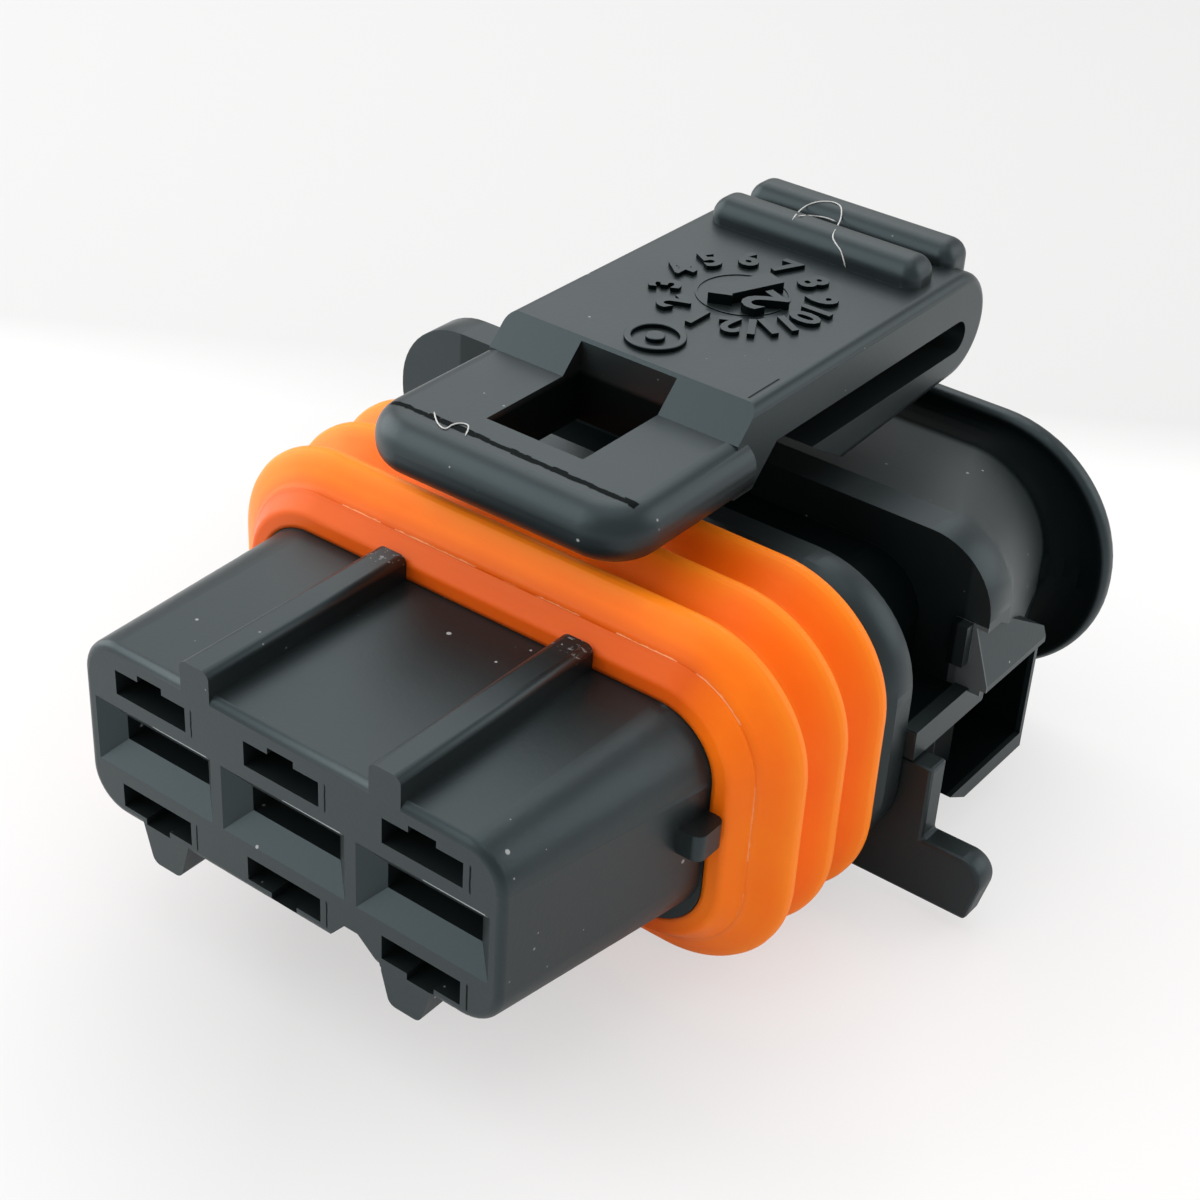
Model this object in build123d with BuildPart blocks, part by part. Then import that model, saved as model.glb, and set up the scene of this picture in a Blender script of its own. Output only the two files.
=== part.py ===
import os
from math import cos, pi, sin
from build123d import *

# Three-way sealed plug for a crankshaft sensor, in millimetres.
# X is the plug's width, +Y runs back from the mating face to the wires, +Z is up.
# The origin is the middle of the blade row on the front face of the nose.
os.makedirs("parts", exist_ok=True)

# Blade row
way_count = 3
way_pitch = 5.0
way_x = [(i - (way_count - 1) / 2) * way_pitch for i in range(way_count)]
slide_gap = 0.1

# Nose block in front of the seal
nose_length = 8.0
nose_width = 15.4
nose_top = 3.2
nose_bottom = -2.75
nose_corner = 1.3
nose_round = 0.25
nose_back_width = 16.9
nose_back_bottom = -3.8

# Core that carries the seal and runs back to the collar
core_width = 17.0
core_top = 3.2
core_bottom = -4.3
core_corner = 1.95

# Ribs on top of the nose and keels under it
rib_width = 1.1
rib_top = 4.0
rib_x = (-3.17, 3.72)
rib_round = 0.25
keel_width = 1.1
keel_draft = 0.4
keel_bottom = -3.9
keel_x = (-4.7, 4.45)
keel_round = 0.3
groove_x = 2.5
groove_width = 0.5
groove_depth = 0.7
groove_left_slope = 0.6
groove_right_slope = 0.85

# Lugs that hold the seal on
lug_length = 1.2
lug_height = 0.85
lug_reach = 0.6
lug_z = 0.0
lug_round = 0.3

# Cavities and their mouths in the front face
funnel_width = 4.6
funnel_height = 2.23
funnel_depth = 0.55
blade_slot_width = 3.28
blade_slot_height = 0.83
front_wall = 1.3
window_width = 2.76
window_height = 0.82
window_z = 2.0
window_crown_width = 0.95
window_crown_rise = 0.22
window_depth = 6.0
window_joins_cavity = 2.6
cavity_width = 3.9
cavity_height = 2.6

# Flange behind the seal
flange_front = 14.75
flange_thickness = 1.2
flange_width = 20.4
flange_top = 4.5
flange_bottom = -6.0
flange_corner = 3.67
flange_round = 0.35

# Seal ring, as reach beyond the core
seal_front = nose_length
seal_flash_y = 8.63
seal_flash_reach = 1.0
seal_lip_reach = 2.3
seal_valley_reach = 1.2
seal_lip_y = 9.54
seal_lip_pitch = 2.06
seal_lips = 3
seal_back_reach = 1.5
seal_lip_round = 0.34
seal_back_gap = 0.05

# Collar: a straight front band, then a taper to the waist
collar_front = 19.1
collar_width = 21.7
collar_top = 4.5
collar_bottom = -4.7
collar_corner = 2.35
band_length = 1.3
waist_width = 18.3
waist_top = 3.6
waist_bottom = -3.5
waist_corner = 3.1

# Rear flange, rising out of the waist in a hollow quarter round
flare_start = 26.2
flare_steps = 4
rim_front = 27.3
rim_thickness = 0.8
rim_width = 21.9
rim_top = 4.3
rim_bottom = -5.25
rim_corner = 4.7
rim_round = 0.35
rear_pocket_wall = 1.0
rear_pocket_depth = 1.4

# Ear on the collar's left end
ear_reach = 12.6
ear_thickness = 1.3
ear_top = 4.65
ear_height = 5.4
ear_corner = 2.6

# Lug, tie bar and panel on the right side
side_lug_inner = 8.2
side_lug_back = 22.9
side_lug_top = 1.95
side_lug_bottom = -0.5
side_lug_reach_top = 10.4
side_lug_reach = 11.1
side_lug_slope_start = 19.9
side_lug_back_top = 0.25
side_lug_step = 0.2
side_lug_lap = 0.15
side_lug_nose_x = 9.8
side_lug_nose_width = 0.55
side_lug_nose_length = 0.4
side_lug_nose_bottom = 0.5
tie_top = -0.4
tie_height = 1.0
tie_width = 0.4
tie_outer = 10.5
panel_outer = 10.5
panel_thickness = 2.2
panel_front = 20.2
panel_back = 23.9
panel_bottom = -5.25
panel_rim = 0.6
panel_back_rim = 0.2
panel_recess = 2.2
panel_foot_front = 18.8
panel_foot_slope = 0.8

# Latch arm: a strap folded back on itself and held at the front of its lower leg
arm_width = 9.2
plate_top = 8.9
plate_thickness = 1.6
plate_front = 14.95
plate_under_front = 16.1
plate_edge_round = 0.35
leg_front_top = 18.2
leg_front_bottom = 20.4
leg_top = 6.2
leg_bottom_front = 4.87
leg_bottom_back = 5.2
bend_back = 28.55
hinge_y = 20.0
hinge_z = 5.5
lip_width = 9.95
lip_front = 8.2
lip_top = 7.93
lip_bottom = 6.15
lip_back = 14.0
lip_side_back = 14.5
lip_corner = 1.7
lip_round = 0.8
catch_width = 3.52
catch_front = 10.45
catch_back = 14.85
ridge_x = -0.05
ridge_width = 7.95
ridge_length = 1.5
ridge_y = (25.3, 27.5)
ridge_top = (9.75, 9.6)
ridge_round = 0.6
ridge_end_round = 0.5

# Contacts, folded from sheet, and the steel sleeves round them
sheet = 0.25
contact_width = 3.3
contact_height = 1.95
contact_front = 1.6
contact_back = 15.85
strip_width = 1.6
crimp_front = 17.4
crimp_back = 19.2
crimp_width = 1.9
crimp_height = 1.7
grip_front = 19.6
grip_back = 21.3
grip_radius = 1.225
grip_link = 0.35
tongue_length = 5.0
tongue_drop = 0.45
sleeve_sheet = 0.2
sleeve_front = 2.2
sleeve_back = 11.5

# Wire bores and their seals
bore_radius = 2.2
bore_front = 21.6
wire_radius = 0.7
wire_seal_back = 26.1
wire_seal_body_radius = 1.8
wire_seal_ribs = 3
wire_seal_rib_width = 0.8
wire_seal_fit = 0.02

# Secondary lock: a comb under the cavities with a hooked plate at its right end
lock_thickness = 0.9
comb_left = -8.9
comb_bottom = -2.85
comb_top = -1.5
tooth_width = 0.9
tooth_top = -0.9
lock_travel = 1.1
band_left = 3.0
lock_bottom = -6.3
lock_web_gap = 0.1
lock_web_outer = 11.2
lock_web_top = -2.2
lock_tab_top = -4.1
lock_tab_reach = 13.55
lock_tab_corner = 0.75
lock_tab_slant = 0.55

# Places that follow from the sizes above
neck_front = flange_front + flange_thickness
lock_front = neck_front + slide_gap
lock_back = lock_front + lock_thickness
rim_back = rim_front + rim_thickness
bore_back = rim_back - rear_pocket_depth
cavity_floor = -cavity_height / 2
lock_web_inner = core_width / 2 + lock_web_gap
wire_seal_front = grip_front + grip_link


def across(y):
    """Plane across the plug, a distance y behind the front face, with +Z as its upright."""
    return Plane.XZ.offset(-y)


def rounded(width, top, bottom, corner):
    """Rounded rectangle centred on X, between two heights."""
    with Locations((0, (top + bottom) / 2)):
        RectangleRounded(width, top - bottom, corner)


def bar(x0, x1, y0, y1, z0, z1, mode=Mode.ADD):
    """Plain bar between two opposite corners."""
    with Locations(((x0 + x1) / 2, (y0 + y1) / 2, (z0 + z1) / 2)):
        Box(x1 - x0, y1 - y0, z1 - z0, mode=mode)


# Housing
with BuildPart() as housing:
    # nose, wider and deeper towards the seal
    with BuildSketch(across(0)):
        rounded(nose_width, nose_top, nose_bottom, nose_corner)
    with BuildSketch(across(nose_length)):
        rounded(nose_back_width, core_top, nose_back_bottom, core_corner)
    loft()
    fillet(faces().sort_by(Axis.Y)[0].edges(), nose_round)
    with BuildSketch(across(nose_length)):
        rounded(core_width, core_top, core_bottom, core_corner)
    extrude(amount=-(collar_front - nose_length))

    # ribs on top, keels and a groove below
    for x in rib_x:
        with BuildSketch(across(0)):
            with Locations((x, rib_top / 2)):
                Rectangle(rib_width, rib_top)
            fillet(vertices().group_by(Axis.Y)[-1], rib_round)
        extrude(amount=-nose_length)
    for x in keel_x:
        with BuildSketch(across(0)):
            with BuildLine():
                Polyline((x - keel_width / 2 - keel_draft, nose_bottom + nose_round),
                         (x - keel_width / 2, keel_bottom),
                         (x + keel_width / 2, keel_bottom),
                         (x + keel_width / 2 + keel_draft, nose_bottom + nose_round), close=True)
            make_face()
            fillet(vertices().group_by(Axis.Y)[0], keel_round)
        extrude(amount=-nose_length)
    with BuildSketch(across(0)):
        with BuildLine():
            Polyline((groove_x - groove_width / 2, nose_bottom + groove_depth),
                     (groove_x + groove_width / 2, nose_bottom + groove_depth),
                     (groove_x + groove_width / 2 + groove_right_slope, nose_bottom),
                     (groove_x + groove_width / 2 + groove_right_slope, core_bottom),
                     (groove_x - groove_width / 2 - groove_left_slope, core_bottom),
                     (groove_x - groove_width / 2 - groove_left_slope, nose_bottom), close=True)
        make_face()
    extrude(amount=-nose_length, mode=Mode.SUBTRACT)

    # lugs that keep the seal from sliding off
    lug_x = core_width / 2 + lug_reach
    with BuildSketch(Plane.XY.offset(lug_z)):
        with Locations((0, nose_length - lug_length / 2)):
            RectangleRounded(2 * lug_x, lug_length, lug_round)
    extrude(amount=lug_height / 2, both=True)

    # flange behind the seal
    with BuildSketch(across(flange_front + flange_round)):
        rounded(flange_width, flange_top, flange_bottom, flange_corner)
    extrude(amount=-(flange_thickness - flange_round))
    with BuildSketch(across(flange_front + flange_round)):
        rounded(flange_width, flange_top, flange_bottom, flange_corner)
    extrude(amount=flange_round, taper=35)

    # collar: band, then the taper to the waist
    with BuildSketch(across(collar_front)):
        rounded(collar_width, collar_top, collar_bottom, collar_corner)
    extrude(amount=-band_length)
    with BuildSketch(across(collar_front + band_length)):
        rounded(collar_width, collar_top, collar_bottom, collar_corner)
    with BuildSketch(across(flare_start)):
        rounded(waist_width, waist_top, waist_bottom, waist_corner)
    loft()

    # rear flange: a hollow quarter round, then the plate with its rounded rim
    for i in range(flare_steps + 1):
        turn = i / flare_steps * pi / 2
        along = sin(turn)
        out = 1 - cos(turn)
        with BuildSketch(across(flare_start + along * (rim_front - flare_start))):
            rounded(waist_width + out * (rim_width - 2 * rim_round - waist_width),
                    waist_top + out * (rim_top - rim_round - waist_top),
                    waist_bottom + out * (rim_bottom + rim_round - waist_bottom),
                    waist_corner + out * (rim_corner - rim_round - waist_corner))
    loft(ruled=True)
    with BuildPart(mode=Mode.PRIVATE) as rim_plate:
        with BuildSketch(across(rim_front)):
            rounded(rim_width, rim_top, rim_bottom, rim_corner)
        extrude(amount=-rim_thickness)
        fillet(faces().sort_by(Axis.Y)[0].edges() + faces().sort_by(Axis.Y)[-1].edges(), rim_round)
    add(rim_plate.part)

    # recess in the collar's right side, under the line of the lug
    recess_floor = panel_outer - panel_thickness
    with BuildSketch(Plane.YZ.offset(recess_floor)):
        with BuildLine():
            Polyline((collar_front, side_lug_top - side_lug_lap),
                     (side_lug_slope_start, side_lug_top - side_lug_lap),
                     (side_lug_back, side_lug_back_top - side_lug_lap),
                     (panel_back, side_lug_bottom - side_lug_lap),
                     (panel_back, collar_bottom), (collar_front, collar_bottom), close=True)
        make_face()
    extrude(amount=collar_width, mode=Mode.SUBTRACT)

    # lug on the right, leaning outwards and falling away to the back
    with BuildPart(mode=Mode.PRIVATE) as side_lug:
        with BuildSketch(across(collar_front)):
            with BuildLine():
                Polyline((side_lug_inner, side_lug_top), (side_lug_reach_top, side_lug_top),
                         (side_lug_reach, side_lug_bottom + 2 * side_lug_step),
                         (side_lug_reach, side_lug_bottom + side_lug_step),
                         (side_lug_reach - side_lug_step, side_lug_bottom + side_lug_step),
                         (side_lug_reach - side_lug_step, side_lug_bottom),
                         (side_lug_inner, side_lug_bottom), close=True)
            make_face()
        extrude(amount=collar_front - side_lug_back)
        with BuildSketch(Plane.YZ.offset(side_lug_inner)):
            with BuildLine():
                Polyline((side_lug_slope_start, side_lug_top), (side_lug_back, side_lug_back_top),
                         (side_lug_back, side_lug_top), close=True)
            make_face()
        extrude(amount=side_lug_reach, mode=Mode.SUBTRACT)
    add(side_lug.part)
    bar(side_lug_nose_x, side_lug_nose_x + side_lug_nose_width, collar_front - side_lug_nose_length,
        collar_front, side_lug_nose_bottom, side_lug_top)

    # ear on the left
    with BuildSketch(across(collar_front)):
        with Locations((-ear_reach / 2, ear_top - ear_height / 2)):
            RectangleRounded(ear_reach, ear_height, ear_corner)
        Rectangle(way_pitch * 2.2, 2 * ear_height, mode=Mode.SUBTRACT)
    extrude(amount=-ear_thickness)

    # tie bar from the flange to the collar, and the panel with its sunk field
    bar(tie_outer - tie_width, tie_outer, neck_front, collar_front, tie_top - tie_height, tie_top)
    with BuildSketch(Plane.YZ.offset(panel_outer)):
        with BuildLine():
            Polyline((panel_front, side_lug_bottom), (panel_back, side_lug_bottom),
                     (panel_back, panel_bottom), (panel_front, panel_bottom),
                     (panel_foot_front, panel_bottom + panel_foot_slope),
                     (panel_foot_front, panel_bottom + 2 * panel_foot_slope), close=True)
        make_face()
    extrude(amount=-panel_thickness)
    bar(panel_outer - panel_recess, panel_outer, panel_foot_front, panel_back - panel_back_rim,
        panel_bottom + panel_rim, side_lug_bottom, mode=Mode.SUBTRACT)

    # cavities, with a funnel, a blade slot and two windows each in the front face
    for x in way_x:
        bar(x - cavity_width / 2, x + cavity_width / 2, front_wall, bore_front,
            cavity_floor, -cavity_floor, mode=Mode.SUBTRACT)
        with BuildSketch(across(0)):
            with Locations((x, 0)):
                Rectangle(funnel_width, funnel_height)
        with BuildSketch(across(funnel_depth)):
            with Locations((x, 0)):
                Rectangle(blade_slot_width, blade_slot_height)
        loft(mode=Mode.SUBTRACT)
        bar(x - blade_slot_width / 2, x + blade_slot_width / 2, 0, front_wall,
            -blade_slot_height / 2, blade_slot_height / 2, mode=Mode.SUBTRACT)
        for side in (1, -1):
            with BuildSketch(across(0)):
                with Locations((x, side * window_z)):
                    Rectangle(window_width, window_height)
                with Locations((x, side * (window_z + window_height / 2))):
                    Rectangle(window_crown_width, 2 * window_crown_rise)
            extrude(amount=-window_depth, mode=Mode.SUBTRACT)
            bar(x - window_width / 2, x + window_width / 2, window_joins_cavity, window_depth,
                min(0, side * window_z), max(0, side * window_z), mode=Mode.SUBTRACT)
        with BuildSketch(across(bore_front)):
            with Locations((x, 0)):
                Circle(bore_radius)
        extrude(amount=-(rim_back - bore_front), mode=Mode.SUBTRACT)

    # rear pocket that the bores open into
    with BuildSketch(across(bore_back)):
        rounded(waist_width - 2 * rear_pocket_wall, waist_top - rear_pocket_wall,
                waist_bottom + rear_pocket_wall, waist_corner - rear_pocket_wall)
    extrude(amount=-rear_pocket_depth, mode=Mode.SUBTRACT)

    # slot for the secondary lock
    bar(comb_left - slide_gap, core_width, neck_front, lock_back + slide_gap,
        comb_bottom - slide_gap, tooth_top + slide_gap, mode=Mode.SUBTRACT)
housing.part.label = "housing"
export_step(housing.part, "parts/housing.step")

# Latch arm
with BuildPart() as latch_arm:
    # folded strap
    plate_bottom = plate_top - plate_thickness
    bend_radius = (plate_top - leg_bottom_back) / 2
    bend_y = bend_back - bend_radius
    inner_radius = (plate_bottom - leg_top) / 2
    with BuildSketch(Plane.YZ):
        with BuildLine():
            Polyline((bend_y, plate_top), (plate_front, plate_top), (lip_back, lip_top),
                     (lip_back, lip_bottom), (plate_front, lip_bottom),
                     (plate_under_front, plate_bottom), (bend_y, plate_bottom))
            RadiusArc((bend_y, plate_bottom), (bend_y, leg_top), inner_radius)
            Polyline((bend_y, leg_top), (leg_front_top, leg_top), (leg_front_bottom, leg_bottom_front),
                     (bend_y, leg_bottom_back))
            RadiusArc((bend_y, leg_bottom_back), (bend_y, plate_top), -bend_radius)
        make_face()
    extrude(amount=arm_width / 2, both=True)
    long_edges = edges().filter_by(Axis.Y).group_by(Axis.Z)[-1]
    fillet(long_edges, plate_edge_round)

    # lip, a little wider, with its corners and its edges rounded
    with BuildPart(mode=Mode.PRIVATE) as lip:
        with BuildSketch(Plane.XY.offset(lip_bottom)):
            with Locations((0, (lip_front + lip_side_back) / 2)):
                Rectangle(lip_width, lip_side_back - lip_front)
            fillet(vertices().group_by(Axis.Y)[0], lip_corner)
        extrude(amount=lip_top - lip_bottom)
        rims = faces().sort_by(Axis.Z)[0].edges() + faces().sort_by(Axis.Z)[-1].edges()
        fillet([edge for edge in rims if edge.center().Y < lip_side_back - 0.01], lip_round)
    add(lip.part)

    # thumb ridges
    for y, top in zip(ridge_y, ridge_top):
        with BuildPart(mode=Mode.PRIVATE) as ridge:
            with Locations((ridge_x, y, (top + plate_bottom) / 2)):
                Box(ridge_width, ridge_length, top - plate_bottom)
            fillet(edges().filter_by(Axis.Z), ridge_end_round)
            fillet(faces().sort_by(Axis.Z)[-1].edges(), ridge_round)
        add(ridge.part)

    # opening that takes the catch of the mating part
    bar(-catch_width / 2, catch_width / 2, catch_front, catch_back, lip_bottom - 1, plate_top + 1,
        mode=Mode.SUBTRACT)
latch_arm.part.label = "latch_arm"
export_step(latch_arm.part, "parts/latch_arm.step")

# Interface seal: one profile swept round half the core, then mirrored
with BuildPart() as interface_seal:
    profile = [(seal_front, core_top), (seal_flash_y, core_top + seal_flash_reach)]
    for i in range(seal_lips):
        crest_y = seal_lip_y + i * seal_lip_pitch
        profile += [(crest_y, core_top + seal_lip_reach)]
        profile += [(crest_y + seal_lip_pitch / 2, core_top + seal_valley_reach)]
    seal_back = flange_front - seal_back_gap
    profile[-1] = (seal_back, core_top + seal_back_reach)
    profile += [(seal_back, core_top)]
    with BuildSketch(Plane.YZ) as seal_profile:
        with BuildLine():
            Polyline(*profile, close=True)
        make_face()
        crests = vertices().group_by(Axis.Y)[-1]
        fillet(crests, seal_lip_round)
    with BuildLine(across(0)) as seal_path:
        FilletPolyline((0, core_top), (core_width / 2, core_top), (core_width / 2, core_bottom),
                       (0, core_bottom), radius=core_corner)
    sweep(path=seal_path.wire())
    mirror(about=Plane.YZ)
interface_seal.part.label = "interface_seal"
export_step(interface_seal.part, "parts/interface_seal.step")

# Secondary lock
with BuildPart() as secondary_lock:
    with BuildSketch(across(lock_front)):
        # comb and its teeth
        with Locations(((comb_left + lock_web_outer) / 2, (comb_bottom + comb_top) / 2)):
            Rectangle(lock_web_outer - comb_left, comb_top - comb_bottom)
        with Locations(*[(x + way_pitch / 2, (comb_bottom + tooth_top) / 2) for x in way_x]):
            Rectangle(tooth_width, tooth_top - comb_bottom)
        # web and the band under the core
        with Locations(((lock_web_inner + lock_web_outer) / 2, (lock_bottom + lock_web_top) / 2)):
            Rectangle(lock_web_outer - lock_web_inner, lock_web_top - lock_bottom)
        band_top = core_bottom - slide_gap
        with Locations(((band_left + lock_web_outer) / 2, (lock_bottom + band_top) / 2)):
            Rectangle(lock_web_outer - band_left, band_top - lock_bottom)
        # hooked tab
        with BuildLine():
            Polyline((lock_web_inner, lock_tab_top), (lock_tab_reach, lock_tab_top),
                     (lock_tab_reach - lock_tab_slant, lock_bottom), (lock_web_inner, lock_bottom), close=True)
        make_face()
        fillet(vertices().group_by(Axis.X)[-1], lock_tab_corner)
    extrude(amount=-lock_thickness)
secondary_lock.part.label = "secondary_lock"
export_step(secondary_lock.part, "parts/secondary_lock.step")

# One contact, sleeve and wire seal per way
for number, x in enumerate(way_x, start=1):
    with BuildPart() as contact:
        top = contact_height / 2
        bar(x - contact_width / 2, x + contact_width / 2, contact_front, contact_back, -top, top)
        bar(x - contact_width / 2 + sheet, x + contact_width / 2 - sheet, contact_front, contact_back,
            -top + sheet, top - sheet, mode=Mode.SUBTRACT)
        # tongue that presses on the blade
        with BuildSketch(Plane.YZ.offset(x)):
            with BuildLine():
                Polyline((contact_front + sheet, top - sheet), (contact_front + tongue_length, top - sheet),
                         (contact_front + tongue_length / 2, top - sheet - tongue_drop), close=True)
            make_face()
        extrude(amount=strip_width / 2, both=True)
        # strip to the crimps
        bar(x - strip_width / 2, x + strip_width / 2, contact_back - sheet, grip_front + grip_link,
            -top, -top + sheet)
        bar(x - strip_width / 2, x + strip_width / 2, grip_front - grip_link, grip_front + grip_link,
            -grip_radius + sheet / 2, -top + sheet)
        bar(x - crimp_width / 2, x + crimp_width / 2, crimp_front, crimp_back, -top, -top + crimp_height)
        bar(x - crimp_width / 2 + sheet, x + crimp_width / 2 - sheet, crimp_front, crimp_back,
            -top + sheet, top, mode=Mode.SUBTRACT)
        with BuildSketch(across(grip_front)):
            with Locations((x, 0)):
                Circle(grip_radius)
                Circle(grip_radius - sheet, mode=Mode.SUBTRACT)
        extrude(amount=-(grip_back - grip_front))
    contact.part.label = f"contact_{number}"
    export_step(contact.part, f"parts/contact_{number}.step")

    with BuildPart() as contact_spring:
        wide = contact_width / 2 + sleeve_sheet
        high = contact_height / 2 + sleeve_sheet
        bar(x - wide, x + wide, sleeve_front, sleeve_back, -high, high)
        bar(x - wide + sleeve_sheet, x + wide - sleeve_sheet, sleeve_front, sleeve_back,
            -high + sleeve_sheet, high - sleeve_sheet, mode=Mode.SUBTRACT)
    contact_spring.part.label = f"contact_spring_{number}"
    export_step(contact_spring.part, f"parts/contact_spring_{number}.step")

    with BuildPart() as wire_seal:
        stem_radius = grip_radius - sheet - wire_seal_fit
        with BuildSketch(Plane.YZ.offset(x)):
            with Locations(((wire_seal_front + bore_front) / 2, (stem_radius + wire_radius) / 2)):
                Rectangle(bore_front - wire_seal_front, stem_radius - wire_radius)
            with Locations(((bore_front + wire_seal_back) / 2, (wire_seal_body_radius + wire_radius) / 2)):
                Rectangle(wire_seal_back - bore_front, wire_seal_body_radius - wire_radius)
            rib_pitch = (wire_seal_back - bore_front) / wire_seal_ribs
            for i in range(wire_seal_ribs):
                middle = bore_front + (i + 0.5) * rib_pitch
                with BuildLine():
                    Polyline((middle - wire_seal_rib_width / 2, wire_seal_body_radius),
                             (middle - wire_seal_rib_width / 6, bore_radius - wire_seal_fit),
                             (middle + wire_seal_rib_width / 6, bore_radius - wire_seal_fit),
                             (middle + wire_seal_rib_width / 2, wire_seal_body_radius), close=True)
                make_face()
        revolve(axis=Axis((x, 0, 0), (0, 1, 0)))
    wire_seal.part.label = f"wire_seal_{number}"
    export_step(wire_seal.part, f"parts/wire_seal_{number}.step")
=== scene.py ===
import math
import bpy
import numpy as np
from mathutils import Matrix, Vector
from mathutils.bvhtree import BVHTree


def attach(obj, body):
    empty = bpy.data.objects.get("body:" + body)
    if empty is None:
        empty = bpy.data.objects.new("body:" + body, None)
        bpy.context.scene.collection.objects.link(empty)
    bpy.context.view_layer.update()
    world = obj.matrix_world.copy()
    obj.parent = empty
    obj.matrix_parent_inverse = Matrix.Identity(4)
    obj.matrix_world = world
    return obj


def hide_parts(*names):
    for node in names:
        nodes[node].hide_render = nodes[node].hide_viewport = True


# Looks of the three-way sealed sensor plug. Sizes in the dictionaries are millimetres in the plug's
# own frame: X along the blade row, Y back from the mating face, Z up.

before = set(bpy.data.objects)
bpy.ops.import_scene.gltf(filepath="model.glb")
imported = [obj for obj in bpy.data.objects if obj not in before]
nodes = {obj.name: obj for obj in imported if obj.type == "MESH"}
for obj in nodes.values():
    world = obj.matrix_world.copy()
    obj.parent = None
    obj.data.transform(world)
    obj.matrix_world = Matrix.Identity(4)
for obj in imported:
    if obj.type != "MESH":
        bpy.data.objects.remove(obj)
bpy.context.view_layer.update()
mm = 0.001
print("frame loaded:", len(nodes), "nodes")


def addPiece(name, mesh):
    # a mesh becomes an object at the origin
    piece = bpy.data.objects.new(name, mesh)
    bpy.context.scene.collection.objects.link(piece)
    return piece


def gridFaces(points, closeU=False, closeV=False):
    # four-cornered faces between neighbouring points[u, v], and round again where a side closes
    rows, columns = points.shape[:2]
    index = np.arange(rows * columns).reshape(rows, columns)
    u = np.arange(rows if closeU else rows - 1)
    v = np.arange(columns if closeV else columns - 1)
    near, far = index[u], index[(u + 1) % rows]
    after = (v + 1) % columns
    return np.stack([near[:, v], far[:, v], far[:, after], near[:, after]], -1).reshape(-1, 4)


def gridMesh(name, points, closeU=False, closeV=False, flip=False):
    # a smooth surface through points[u, v]; flip turns its faces round
    faces = gridFaces(points, closeU, closeV)
    if flip:
        faces = faces[:, ::-1]
    mesh = bpy.data.meshes.new(name)
    mesh.from_pydata((points.reshape(-1, 3) * mm).tolist(), [], faces.tolist())
    mesh.shade_smooth()
    return addPiece(name, mesh)


def roundedLoop(halfWidth, top, bottom, corner, out, count):
    # a rounded rectangle seen along Y, moved outwards by out: the middle line of the corners stays, their
    # radius grows, and the points are spread evenly by angle on the corners and by length on the sides
    radius = corner + out
    innerX = halfWidth - corner
    centres = [(innerX, top - corner), (-innerX, top - corner),
               (-innerX, bottom + corner), (innerX, bottom + corner)]
    parts = []
    for i, (x, z) in enumerate(centres):
        first, last = i * math.pi / 2, (i + 1) * math.pi / 2
        turn = np.linspace(first, last, count["corner"], endpoint=False)
        parts.append(np.stack([x + radius * np.cos(turn), z + radius * np.sin(turn)], -1))
        nextX, nextZ = centres[(i + 1) % 4]
        end = np.array([x + radius * math.cos(last), z + radius * math.sin(last)])
        start = np.array([nextX + radius * math.cos(last), nextZ + radius * math.sin(last)])
        along = np.linspace(0, 1, count["long"] if i % 2 == 0 else count["short"], endpoint=False)[:, None]
        parts.append(end + (start - end) * along)
    return np.concatenate(parts)


def finer(points, times):
    # each stretch between two points is cut into this many equal ones
    steps = np.linspace(0, len(points) - 1, (len(points) - 1) * times + 1)
    return np.stack([np.interp(steps, np.arange(len(points)), column) for column in points.T], -1)


def join(tree, value, target):
    # a shader socket is linked to the target, and a plain value is set there
    if isinstance(value, Sock):
        tree.links.new(value.socket, target)
    else:
        target.default_value = value


class Sock:
    # a shader socket on which the usual signs build Math nodes
    def __init__(self, tree, socket):
        self.tree = tree
        self.socket = socket

    def maths(self, operation, *others):
        node = self.tree.nodes.new("ShaderNodeMath")
        node.operation = operation
        for i, value in enumerate((self,) + others):
            join(self.tree, value, node.inputs[i])
        return Sock(self.tree, node.outputs[0])

    def __add__(self, other):
        return self.maths("ADD", other)

    def __mul__(self, other):
        return self.maths("MULTIPLY", other)

    def __sub__(self, other):
        return self.maths("SUBTRACT", other)

    def __rsub__(self, other):
        return (self * -1) + other

    def __gt__(self, other):
        return self.maths("GREATER_THAN", other)

    def __lt__(self, other):
        return self.maths("LESS_THAN", other)

    def __abs__(self):
        return self.maths("ABSOLUTE")

    def clamp(self):
        return self.maths("MAXIMUM", 0.0).maths("MINIMUM", 1.0)

    __radd__ = __add__
    __rmul__ = __mul__


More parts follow.
